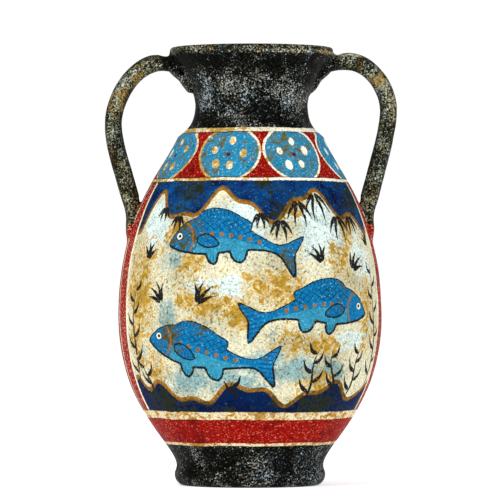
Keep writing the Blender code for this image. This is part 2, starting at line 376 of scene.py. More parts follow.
def edit_all():
    bpy.ops.object.mode_set(mode="EDIT")
    bpy.ops.mesh.select_all(action="SELECT")


def close_skin():
    """Turns every face outwards and leaves the mesh."""
    bpy.ops.mesh.select_all(action="SELECT")
    bpy.ops.mesh.normals_make_consistent(inside=False)
    bpy.ops.object.mode_set(mode="OBJECT")


def extrude(x, z):
    bpy.ops.mesh.extrude_region_move(TRANSFORM_OT_translate={"value": (x, 0, z)})


def unevenness(obj, name, size, strength):
    """Soft hollows and swellings of a hand-worked surface, except where the vase stands."""
    group = obj.vertex_groups.new(name=name)
    for vertex in obj.data.vertices:
        room = min(vertex.co.z - 0.002, 2 * (VASE_HIGH.z - 0.001 - vertex.co.z))
        group.add([vertex.index], min(max(room / 0.02, 0), 1), "REPLACE")
    swell = bpy.data.textures.new(name, "CLOUDS")
    swell.noise_scale = size
    modifier = obj.modifiers.new(name, "DISPLACE")
    modifier.texture = swell
    modifier.texture_coords = "LOCAL"
    modifier.mid_level = 0.5
    modifier.strength = strength
    modifier.vertex_group = name
    only(obj)
    bpy.ops.object.modifier_apply(modifier=name)
    obj.vertex_groups.clear()


def turn_body(sizes):
    """Draws the half section point by point and turns it once round the axis."""
    line = body_line(sizes)
    body = added(bpy.ops.mesh.primitive_plane_add, size=0.01, location=(0, 0, 0))
    body.name = body.data.name = "painted_vase"
    edit_all()
    bpy.ops.mesh.merge(type="CENTER")
    bpy.ops.transform.translate(value=(line[0][0], 0, line[0][1]))
    for step in np.diff(line, axis=0):
        extrude(*step)
    bpy.ops.object.mode_set(mode="OBJECT")
    screw = body.modifiers.new("wheel", "SCREW")
    screw.steps = screw.render_steps = sizes.columns
    screw.use_merge_vertices = True
    screw.merge_threshold = MERGE_DISTANCE
    bpy.ops.object.modifier_apply(modifier="wheel")
    edit_all()
    bpy.ops.mesh.remove_doubles(threshold=MERGE_DISTANCE)
    close_skin()
    unevenness(body, "thrown_unevenness", 0.035, 0.0008)
    for vertex in body.data.vertices:
        share = min(max((vertex.co.z - 0.165) / 0.06, 0), 1)
        vertex.co.x += 0.0009 * share * share * (3 - 2 * share)
    return body


# Handles

def bent_coil(kind, knots, sections, side):
    """A coil of clay rolled straight, then bent along a path beside the neck.

    knots are (radius, height, lean, pull before, pull after) along the coil's centre.
    sections are (share of the length, thickness, width).
    """
    name = kind + ("left" if side < 0 else "right")
    path = added(bpy.ops.curve.primitive_bezier_curve_add, location=(0, 0, 0))
    path.data.dimensions = "2D"
    path.data.resolution_u = 64
    spline = path.data.splines[0]
    spline.bezier_points.add(len(knots) - 2)
    length = 0
    for point, (radius, height, lean, before, after) in zip(spline.bezier_points, knots):
        point.handle_left_type = point.handle_right_type = "FREE"
        run = heading(lean)
        point.co = (radius, height, 0)
        point.handle_left = (radius - run.x * before, height - run.y * before, 0)
        point.handle_right = (radius + run.x * after, height + run.y * after, 0)
    for here, following in zip(list(spline.bezier_points), list(spline.bezier_points)[1:]):
        stretch = interpolate_bezier(
            here.co, here.handle_right, following.handle_left, following.co, 100
        )
        length += sum((b - a).length for a, b in zip(stretch, stretch[1:]))

    shares, thicknesses, widths = sections.T
    rings = int(length / (1.5 * MM))
    places = np.linspace(0, 1, rings + 1)
    thickness = np.interp(places, shares, thicknesses)
    width = np.interp(places, shares, widths)
    coil = added(
        bpy.ops.mesh.primitive_circle_add, vertices=26, radius=0.5, fill_type="NGON",
        rotation=(0, UP, 0),
    )
    coil.name = coil.data.name = name
    bpy.ops.object.transform_apply(location=False, rotation=True, scale=False)
    edit_all()
    bpy.ops.transform.resize(value=(1, thickness[0], width[0]))
    for ring in range(1, rings + 1):
        extrude(length / rings, 0)
        bpy.ops.transform.resize(
            value=(1, thickness[ring] / thickness[ring - 1], width[ring] / width[ring - 1]),
            center_override=(length * places[ring], 0, 0),
        )
    close_skin()
    bend = coil.modifiers.new("bend", "CURVE")
    bend.object = path
    bpy.ops.object.modifier_apply(modifier="bend")
    coil.rotation_euler = (UP, 0, 0 if side > 0 else math.pi)
    bpy.ops.object.transform_apply(location=True, rotation=True, scale=True)
    bpy.data.objects.remove(path)
    unevenness(coil, name + "_unevenness", 0.012, 0.0005)
    return coil


def beside(line, height, gap):
    """The point at this height that stands so far out from the body's outer line."""
    return float(np.interp(height, line[:, 1], line[:, 0])) + gap, height


def handle(sizes, line, side):
    """One handle, from under the lip over the elbow to its flattened tail on the belly."""
    crown, elbow, pulls = {
        -1: ((0.0522, 0.2411), (0.0782, 0.2060), (0.0130, 0.0160)),
        1: ((0.0562, 0.2424), (0.0795, 0.2145), (0.0128, 0.0128)),
    }[side]
    root = beside(line, 0.2385, -0.0006)
    start = (crown[0] - root[0]) * 0.35
    knots = (
        (*root, math.radians(24), start, start),
        (*crown, 0, start, pulls[0]),
        (*elbow, DOWN, pulls[1], 0.0130),
        (*beside(line, 0.160, 0.0046), math.radians(-104), 0.0170, 0.0040),
        (*beside(line, 0.148, 0.0008), math.radians(-78), 0.0040, 0.0035),
        (*beside(line, 0.1375, -0.0011), math.radians(-80), 0.0035, 0.0020),
    )
    shares = (
        (0.0, 0.72, 1.05), (0.05, 0.84, 1.02), (0.12, 1.0, 1.0), (0.45, 0.97, 1.0),
        (0.79, 1.04, 1.02), (0.85, 0.93, 1.12), (0.90, 0.66, 1.3), (0.94, 0.48, 1.42),
        (0.97, 0.36, 1.34), (0.99, 0.24, 1.0), (1.0, 0.12, 0.6),
    )
    sections = np.array(shares) * (1, sizes.handle_thickness, sizes.handle_width)
    return bent_coil("handle_", knots, sections, side)


def smear(line, side):
    """Clay pressed from under the handle down the side of the neck, with a rounded end."""
    knots = (
        (*beside(line, 0.2395, 0.0022), math.radians(-116), 0.004, 0.004),
        (*beside(line, 0.231, 0.0008), math.radians(-116), 0.003, 0.003),
        (*beside(line, 0.2232, 0.0001), math.radians(-100), 0.003, 0.002),
    )
    sharper = 1.15 if side > 0 else 1.0
    sections = np.array((
        (0.0, 7.6, 17.5), (0.4, 5.2, 16.0), (0.75, 4.6 * sharper, 13.0),
        (0.9, 4.0 * sharper, 11.0), (1.0, 1.6 * sharper, 6.5),
    ))
    return bent_coil("smear_", knots, sections * (1, MM, MM), side)


def lute(body, coils):
    """Joins the coils to the body for good and smooths the clay over the joins."""
    marks = [bpy.data.materials.new(name) for name in ("thrown_clay", "luted_clay")]
    body.data.materials.append(marks[0])
    for coil in coils:
        coil.data.materials.append(marks[1])
        union = body.modifiers.new("join", "BOOLEAN")
        union.operation = "UNION"
        union.solver = "MANIFOLD"
        union.material_mode = "TRANSFER"
        union.object = coil
        only(body)
        bpy.ops.object.modifier_apply(modifier="join")
        bpy.data.objects.remove(coil)
    luted = body.data.materials.find("luted_clay")
    if luted < 0:
        raise RuntimeError("the handles were not joined to the body")

    bpy.ops.object.mode_set(mode="EDIT")
    bpy.ops.mesh.select_mode(type="EDGE")
    bpy.ops.mesh.select_all(action="DESELECT")
    bpy.ops.object.mode_set(mode="OBJECT")
    owners = {}
    for face in body.data.polygons:
        for edge in face.edge_keys:
            owners.setdefault(edge, []).append(face.material_index == luted)
    for edge in body.data.edges:
        sides = owners[tuple(sorted(edge.vertices))]
        edge.select = any(sides) and not all(sides)
    bpy.ops.object.mode_set(mode="EDIT")
    for _ in range(3):
        bpy.ops.mesh.select_more()
    bpy.ops.mesh.vertices_smooth(factor=0.5, repeat=14)
    bpy.ops.mesh.select_mode(type="VERT")
    bpy.ops.object.mode_set(mode="OBJECT")


# Painting: distances and places that the paints read, kept on the mesh in millimetres

def along_line(places, line):
    """For each place: distance to the line, offset to its left, and how far along it lies."""
    start, run = line[:-1], np.diff(line, axis=0)
    length = np.hypot(*run.T)
    before = walked(line)
    apart = places[:, None, :] - start
    share = (apart * run).sum(2) / length ** 2
    held = np.clip(share, 0, 1)
    gap = apart - held[..., None] * run
    distance = np.hypot(gap[..., 0], gap[..., 1])
    nearest = distance.argmin(1)
    pick = np.arange(len(places))
    side = (run[:, 0] * apart[..., 1] - run[:, 1] * apart[..., 0])[pick, nearest]
    free = share[pick, nearest]
    free = np.where((nearest > 0) & (free < 0), 0, free)
    free = np.where((nearest < len(run) - 1) & (free > 1), 1, free)
    along = before[nearest] + free * length[nearest]
    return distance[pick, nearest], side / length[nearest], along


def depth_inside(places, outline):
    """Distance to a closed outline, positive inside it."""
    loop = np.vstack((outline, outline[:1]))
    distance, _, _ = along_line(places, loop)
    x, y = places[:, 0:1], places[:, 1:2]
    (x0, y0), (x1, y1) = loop[:-1].T, loop[1:].T
    spans = (y0 > y) != (y1 > y)
    rise = np.where(y1 == y0, 1, y1 - y0)
    crossings = (spans & (x < (x1 - x0) * (y - y0) / rise + x0)).sum(1)
    return np.where(crossings % 2 == 1, distance, -distance)


def fish_frame(spine):
    """The spine as a smooth line, how far along it each point lies, and the back's side."""
    line = smooth_line(spine, steps=16)
    return line, walked(line), 1 if spine[-1][0] > spine[0][0] else -1


def bent_outline(outline, spine):
    """An outline of the straight fish, bent along the spine of a swimming one."""
    line, reach, back = fish_frame(spine)
    length = reach[-1]
    places = outline[:, 0] / 100 * length
    run = read_off(places, reach, np.gradient(line, axis=0))
    run /= np.hypot(*run.T)[:, None]
    spot = read_off(places, reach, line)
    spot += run * (places - np.clip(places, 0, length))[:, None]
    up = np.column_stack((-run[:, 1], run[:, 0])) * back
    return spot + up * outline[:, 1:] / 100 * length


def fish_depths(places):
    """Depths inside the fish and inside the fins drawn over them, and places along them."""
    body = np.full(len(places), OFF_PICTURE)
    fins = body.copy()
    spot = np.full((len(places), 3), 200.0)
    closest = np.full(len(places), 1e9)
    trunk = smooth_line(FISH_BACK + FISH_BELLY, closed=True)
    outlines = [(trunk, body), (smooth_line(FISH_BREAST_FIN, closed=True), fins)]
    for outline in (FISH_TAIL, FISH_BACK_FIN, FISH_VENT_FIN, FISH_THROAT_FIN):
        outlines.append((smooth_line(outline), body))
    for spine in FISH_SPINES:
        for outline, target in outlines:
            depth = depth_inside(places, bent_outline(outline, spine))
            np.maximum(target, depth, out=target)
        line, reach, back = fish_frame(spine)
        distance, offset, along = along_line(places, line)
        nearer = distance < closest
        closest = np.where(nearer, distance, closest)
        spot[nearer, 0] = along[nearer] / reach[-1] * 100
        spot[nearer, 1] = back * offset[nearer] / reach[-1] * 100
    return body, fins, spot


def rock_edge(height, long_swell, long_start, short_swell, short_start, side_rise):
    across = np.arange(-98, 98.1, 1.4)
    side = np.clip((np.abs(across) - 70) / 14, 0, 1)
    edge = height + long_swell * np.sin(across / 9.2 + long_start) + side_rise * side ** 2
    return np.column_stack((across, edge + short_swell * np.sin(across / 3.7 + short_start)))


def rock_depth(places):
    above = np.vstack(((-140, 145), rock_edge(*ROCKS_ABOVE), (140, 145), (140, 230), (-140, 230)))
    below = np.vstack(((-140, 60), rock_edge(*ROCKS_BELOW), (140, 60), (140, 0), (-140, 0)))
    return np.maximum(depth_inside(places, above), depth_inside(places, below))


def frond(root, height, lean, leaves):
    """Brush strokes of one water weed: a wavy stem, with leaves on either side in turn."""
    rise = np.linspace(0, 1, 7)
    stem = np.column_stack((
        root[0] + lean * rise + 1.3 * np.sin(rise * 7), root[1] + height * rise,
    ))
    strokes = [(stem, 1.7)]
    for number in range(leaves):
        share = (number + 0.8) / (leaves + 0.8)
        foot = read_off([share], rise, stem)[0]
        side = 1 if number % 2 else -1
        tip = foot + (side * (8.5 - 4 * share), 9.5 - 3 * share)
        belly = (foot + tip) / 2 + (side * 1.1, -1.3)
        strokes.append((np.array((foot, belly, tip)), 2.5))
    return strokes


def tuft(root, lean, reach):
    """The four brush strokes of a tuft, fanned out round its lean."""
    strokes = []
    for number in range(4):
        turn = math.radians(lean + 24 * (number - 1.5))
        run = np.array((math.sin(turn), math.cos(turn))) * reach * (1 - 0.12 * abs(number - 1.5))
        start = np.array(root, float) + run * 0.12
        bend = np.array((-run[1], run[0])) * (0.08 if run[0] > 0 else -0.08)
        strokes.append((np.array((start, start + run / 2 + bend, start + run)), 2.5))
    return strokes


def weed_strokes(fronds, tufts):
    """Every brush stroke on one side of the vase, as a smooth line and its width."""
    edge = rock_edge(*ROCKS_ABOVE)
    hanging = [
        ((across, np.interp(across, edge[:, 0], edge[:, 1])), 180, reach) for across, reach in FRINGE
    ]
    strokes = [stroke for weed in fronds for stroke in frond(*weed)]
    strokes += [stroke for weed in (*tufts, *hanging) for stroke in tuft(*weed)]
    return [(smooth_line(points, steps=6), width) for points, width in strokes]


def ink_layers(corners, centres, owners, strokes):
    """For each layer: offset across the nearest stroke and the stroke's half width there."""
    layers = np.full((INK_LAYERS, len(corners), 3), 40.0)
    layers[:, :, 1] = -1
    nearest = np.full((INK_LAYERS, len(centres)), INK_REACH)
    for index, (line, width) in enumerate(strokes):
        layer = index % INK_LAYERS
        low, high = line.min(0) - INK_REACH, line.max(0) + INK_REACH
        near = np.flatnonzero(((centres > low) & (centres < high)).all(1))
        if not len(near):
            continue
        distance, _, _ = along_line(centres[near], line)
        near = near[distance < nearest[layer, near]]
        distance, _, _ = along_line(centres[near], line)
        nearest[layer, near] = distance
        mine = np.zeros(len(centres), bool)
        mine[near] = True
        spots = np.flatnonzero(mine[owners])
        _, offset, along = along_line(corners[spots], line)
        length = walked(line)[-1]
        share = along / length
        rising = np.sin(np.clip(share / STROKE_PEAK, 0, 1) * math.pi / 2)
        rising = STROKE_ROOT + (1 - STROKE_ROOT) * rising
        falling = ((1 - share) / (1 - STROKE_PEAK)) ** 0.85
        swell = np.where(share < STROKE_PEAK, rising, falling)
        beyond = np.maximum(-share, share - 1)
        half = np.where(beyond > 0, -beyond * length, width / 2 * np.nan_to_num(swell))
        layers[layer, spots, 0] = offset
        layers[layer, spots, 1] = half
    return layers


def read(items, field, width=1, kind=float):
    """One field of every vertex, corner or face, in rows of this width."""
    values = np.empty(len(items) * width, kind)
    items.foreach_get(field, values)
    return values.reshape(-1, width) if width > 1 else values


def keep(mesh, name, domain, values):
    kind, field = ("FLOAT_VECTOR", "vector") if values.ndim > 1 else ("FLOAT", "value")
    attribute = mesh.attributes.new(name, kind, domain)
    attribute.data.foreach_set(field, np.ascontiguousarray(values, np.float32).ravel())


def draw_picture(body, line):
    """Works out every painted shape on the finished clay and keeps it for the paints."""
    mesh = body.data
    spots = read(mesh.vertices, "co", 3) * 1000
    corner_spots = read(mesh.loops, "vertex_index", kind=int)
    sizes = read(mesh.polygons, "loop_total", kind=int)
    marks = read(mesh.polygons, "material_index", kind=int)
    centres = read(mesh.polygons, "center", 3) * 1000
    owners = np.repeat(np.arange(len(sizes)), sizes)

    def turned(points):
        """How far round from the front each point stands."""
        return np.arctan2(points[:, 0], -points[:, 1])

    def on_panel(points, back):
        turn = np.where(back, turned(-points), turned(points))
        return np.column_stack((turn * PICTURE_RADIUS, points[:, 2]))

    behind = centres[:, 1] > 0
    corners = spots[corner_spots]
    corner_places = on_panel(corners, behind[owners])
    centre_places = on_panel(centres, behind)
    spot_places = on_panel(spots, spots[:, 1] > 0)

    outer = np.interp(centres[:, 2], line[:, 1] * 1000, line[:, 0] * 1000)
    radius = np.hypot(centres[:, 0], centres[:, 1])
    luted = marks == mesh.materials.find("luted_clay")
    inside = (radius < outer - 2.2) & (centres[:, 2] > 4) & ~luted
    inside &= ~((centres[:, 2] > 238) & (radius > 39.0))
    under = (centres[:, 2] < 2.2) & (radius < 37.3)
    finish = np.where(inside, 1, np.where(under, 2, 0))

    keep(mesh, "luted", "FACE", luted)
    panel = np.column_stack((corner_places, ~behind[owners]))
    keep(mesh, "panel", "CORNER", panel)

    near = (spots[:, 2] > 38) & (spots[:, 2] < 178)
    rock = np.full(len(spots), OFF_PICTURE)
    rock[near] = rock_depth(spot_places[near])
    keep(mesh, "rock", "POINT", rock)

    wash = np.zeros((len(spots), 4))
    washes = (OCHRE_PATCHES, PALE_PATCHES, MISTY_PATCHES, SOILED_PATCHES)
    for column, patches in enumerate(washes):
        for u, z, breadth, tall in patches:
            away = ((spot_places[:, 0] - u) / breadth) ** 2 + ((spot_places[:, 1] - z) / tall) ** 2
            wash[:, column] = np.maximum(wash[:, column], np.exp(-away ** 1.2 * 0.8))
    keep(mesh, "wash", "POINT", wash[:, :3])
    keep(mesh, "soil", "POINT", wash[:, 3])

    near &= spots[:, 1] < 0
    fish = np.full(len(spots), OFF_PICTURE)
    fins = fish.copy()
    along = np.full((len(spots), 3), 200.0)
    fish[near], fins[near], along[near] = fish_depths(spot_places[near])
    keep(mesh, "fish", "POINT", fish)
    keep(mesh, "fins", "POINT", fins)
    keep(mesh, "along_fish", "POINT", along)

    front = ink_layers(corner_places, centre_places, owners, weed_strokes(FRONDS, TUFTS))
    back = ink_layers(corner_places, centre_places, owners, weed_strokes(BACK_FRONDS, ()))
    layers = np.where(behind[owners][None, :, None], back, front)
    for number, layer in enumerate(layers):
        keep(mesh, f"ink_{number}", "CORNER", layer)

    turns = np.radians(DISC_TURNS)
    away = (turned(centres)[:, None] - turns + math.pi) % math.tau - math.pi
    disc = np.abs(away).argmin(1)[owners]
    across = (turned(corners) - turns[disc] + math.pi) % math.tau - math.pi
    across *= np.hypot(corners[:, 0], corners[:, 1])
    upwards = (corners[:, 2] - DISC_HEIGHT) / math.cos(SHOULDER_SLOPE)
    places = np.column_stack((across, upwards))
    keep(mesh, "disc", "CORNER", np.column_stack((places, np.zeros(len(disc)))))

    hand = np.random.default_rng(11)
    spots_here = []
    for _ in DISC_TURNS:
        tilt = hand.uniform(-0.16, 0.16)
        for turn, reach in DISC_SPOTS:
            turn = math.radians(turn) + tilt + hand.uniform(-0.12, 0.12)
            reach += hand.uniform(-0.7, 0.7)
            spots_here.append((math.sin(turn) * reach, math.cos(turn) * reach, hand.uniform(0.85, 1.2)))
    spots_here = np.array(spots_here).reshape(len(DISC_TURNS), -1, 3)[disc]
    middles = np.add.reduceat(places, np.cumsum(sizes) - sizes) / sizes[:, None]
    gaps = middles[owners][:, None] - spots_here[:, :, :2]
    choice = (gaps ** 2).sum(2).argmin(1)
    chosen = spots_here[np.arange(len(choice)), choice]
    spot = np.column_stack((places - chosen[:, :2], chosen[:, 2]))
    keep(mesh, "spot", "CORNER", spot)
    return finish


# Paints

class Value:
    """What one node gives, open to plain arithmetic."""

    def __init__(self, palette, socket):
        self.palette, self.socket = palette, socket

    def __add__(self, other):
        return self.palette.math("ADD", self, other)

    def __sub__(self, other):
        return self.palette.math("SUBTRACT", self, other)

    def __rsub__(self, other):
        return self.palette.math("SUBTRACT", other, self)

    def __mul__(self, other):
        return self.palette.math("MULTIPLY", self, other)

    def __truediv__(self, other):
        return self.palette.math("DIVIDE", self, other)

    def __pow__(self, other):
        return self.palette.math("POWER", self, other)

    def __abs__(self):
        return self.palette.math("ABSOLUTE", self)


class Palette:
    """Adds the nodes of one tree and joins them. Its textures are read at the place where."""

    def __init__(self, tree):
        self.tree = tree
        self.where = None

    def feed(self, socket, value):
        if isinstance(value, Value):
            self.tree.links.new(value.socket, socket)
        elif socket.type == "RGBA":
            socket.default_value = (*value, 1.0)
        else:
            socket.default_value = value

    def add(self, kind, inputs=None, **settings):
        made = self.tree.nodes.new(kind)
        for name, value in settings.items():
            setattr(made, name, value)
        for name, value in (inputs or {}).items():
            self.feed(made.inputs[name], value)
        return made

    def node(self, kind, output, inputs=None, **settings):
        return Value(self, self.add(kind, inputs, **settings).outputs[output])

    def math(self, operation, *values):
        return self.node("ShaderNodeMath", 0, dict(enumerate(values)), operation=operation)

    def mix(self, share, first, second, blend="MIX"):
        inputs = {0: share, 6: first, 7: second}
        return self.node("ShaderNodeMix", 2, inputs, data_type="RGBA", blend_type=blend)

    def lay(self, ground, *coats):
        """Lays each coat, a mask and a colour, over the ground in turn."""
        for mask, colour in coats:
            ground = self.mix(mask, ground, colour)
        return ground

    def toned(self, colour, value):
        return self.node("ShaderNodeHueSaturation", "Color", {"Color": colour, "Value": value})

    def noise(self, scale, detail=2.0, distortion=0.0, roughness=0.5):
        return self.node("ShaderNodeTexNoise", "Fac", {
            "Vector": self.where, "Scale": scale, "Detail": detail, "Distortion": distortion,
            "Roughness": roughness,
        })

    def sway(self, reach, *noise):
        """A noise that sways about 0."""
        return (self.noise(*noise) - 0.5) * reach

    def ramp(self, value, low, high):
        """0 below low, 1 above high, easing between them."""
        return self.node("ShaderNodeMapRange", "Result", {
            "Value": value, "From Min": low, "From Max": high,
        }, interpolation_type="SMOOTHSTEP")

    def fall(self, value, low, high):
        """1 below low, 0 above high."""
        return 1 - self.ramp(value, low, high)

    def span(self, value, low, full, fading, high):
        """1 between full and fading, 0 below low and above high."""
        return self.ramp(value, low, full) * self.fall(value, fading, high)

    def either(self, first, *others):
        for other in others:
            first = self.math("MAXIMUM", first, other)
        return first

    def stored(self, name, output="Fac"):
        return self.node("ShaderNodeAttribute", output, attribute_name=name)

    def parts(self, vector):
        made = self.add("ShaderNodeSeparateXYZ", {"Vector": vector})
        return [Value(self, socket) for socket in made.outputs]

    def group(self, tree, *values):
        """The colour and the height that a node group gives at this place for the values."""
        inputs = dict(enumerate((self.where, *values)))
        made = self.add("ShaderNodeGroup", inputs, node_tree=tree)
        return [Value(self, socket) for socket in made.outputs]


def new_group(name, inputs):
    """An empty node group that takes a place and inputs of (name, kind)."""
    tree = bpy.data.node_groups.new(name, "ShaderNodeTree")
    for title, kind in (("Where", "Vector"), *inputs):
        tree.interface.new_socket(title, in_out="INPUT", socket_type="NodeSocket" + kind)
    for title, kind in (("Color", "Color"), ("Height", "Float")):
        tree.interface.new_socket(title, in_out="OUTPUT", socket_type="NodeSocket" + kind)
    p = Palette(tree)
    start = tree.nodes.new("NodeGroupInput")
    given = {socket.name: Value(p, socket) for socket in start.outputs}
    p.where = given["Where"]
    return p, given


def speckled_slip_group(colours):
    """Black slip with white and tan grit showing through, thicker in some patches."""
    p, given = new_group("speckled_slip", (("Grit", "Float"), ("Warmth", "Float")))
    fine = p.noise(1000.0, 2.0)
    coarse = p.noise(520.0, 3.0, 0.3)
    lift = p.sway(1.5, 75.0, 4.0, 0.5) + given["Grit"]
    edge = 0.69 - lift * 0.27
    white = p.ramp(fine, edge, edge + 0.14) * p.ramp(p.noise(800.0, 1.0), 0.15, 0.70)
    thread = p.fall(abs(p.noise(520.0, 1.0, 1.4) - 0.5), 0.010, 0.036)
    broken = p.ramp(fine, edge - 0.14, edge)
    white = p.either(white, thread * broken * p.ramp(lift, 0.0, 0.85))
    second_edge = edge + 0.01
    mottle = p.ramp(coarse, second_edge, second_edge + 0.16)
    warm_edge = 0.53 - given["Warmth"] * 0.09
    tan = mottle * p.ramp(p.noise(130.0, 3.0), warm_edge, warm_edge + 0.10)
    cold = p.ramp(p.noise(36.0, 2.0), 0.46, 0.58)
    gilt = p.ramp(p.noise(95.0, 2.0, 0.6), 0.52, 0.64) * (given["Warmth"] * 0.6 + 0.4)
    pale = p.lay(colours.white_speck, (cold, (0.62, 0.75, 0.82)), (gilt, (0.60, 0.42, 0.19)))
    haze = p.ramp(coarse, 0.46, 0.60)
    colour = p.lay(
        colours.black, (haze * 0.7, (0.006, 0.007, 0.004)), (mottle * 0.7, (0.12, 0.13, 0.10)),
        (tan * 0.5, colours.tan_speck), (white * 0.95, pale),
    )
    p.add("NodeGroupOutput", {"Color": colour, "Height": white + mottle * 0.6})
    return p.tree


def weathered_paint_group():
    """Stains soaked into a colour, pale grit showing through it and a slight change of tone."""
    p, given = new_group("weathered_paint", (
        ("Color", "Color"), ("Stain", "Color"), ("Staining", "Float"), ("Grit", "Color"),
        ("Gritting", "Float"),
    ))
    blots = p.noise(240.0, 5.0, 0.5, 0.66)
    flecks = p.noise(640.0, 3.0, 0.0, 0.6)
    grain = p.noise(950.0, 2.0)
    low = 0.76 - (p.sway(0.9, 40.0, 2.0) + given["Staining"]) * 0.34
    soaked = p.ramp(blots, low, low + 0.06)
    dusted = p.ramp(flecks, low + 0.03, low + 0.09)
    stained = p.either(soaked, dusted * 0.75)
    value = (grain - 0.5) * 1.3 + 1.0 + (flecks - 0.5) * 0.9 + p.sway(0.7, 120.0, 3.0)
    grit_edge = 0.76 - given["Gritting"] * 0.17
    pale = p.ramp(grain, grit_edge, grit_edge + 0.10)
    heart = p.ramp(blots, low + 0.05, low + 0.13)
    stain = p.toned(given["Stain"], 1.08 - heart * 0.32)
    thin = (flecks - 0.5) * 1.2 + 0.95
    tone = p.toned(given["Color"], value)
    colour = p.lay(tone, (pale * 0.75, given["Grit"]), (stained * thin, stain))
    p.add("NodeGroupOutput", {"Color": colour, "Height": grain - stained * 0.3})
    return p.tree


def new_paint(name):
    material = bpy.data.materials.new(name)
    material.use_nodes = True
    shader = material.node_tree.nodes["Principled BSDF"]
    shader.inputs["Specular IOR Level"].default_value = 0.02
    return material, Palette(material.node_tree), shader


def finish_paint(p, shader, colour, height, roughness, depth):
    relief = {"Height": height, "Strength": 1.0, "Distance": depth}
    bump = p.node("ShaderNodeBump", "Normal", relief)
    for name, value in (("Base Color", colour), ("Roughness", roughness), ("Normal", bump)):
        p.feed(shader.inputs[name], value)


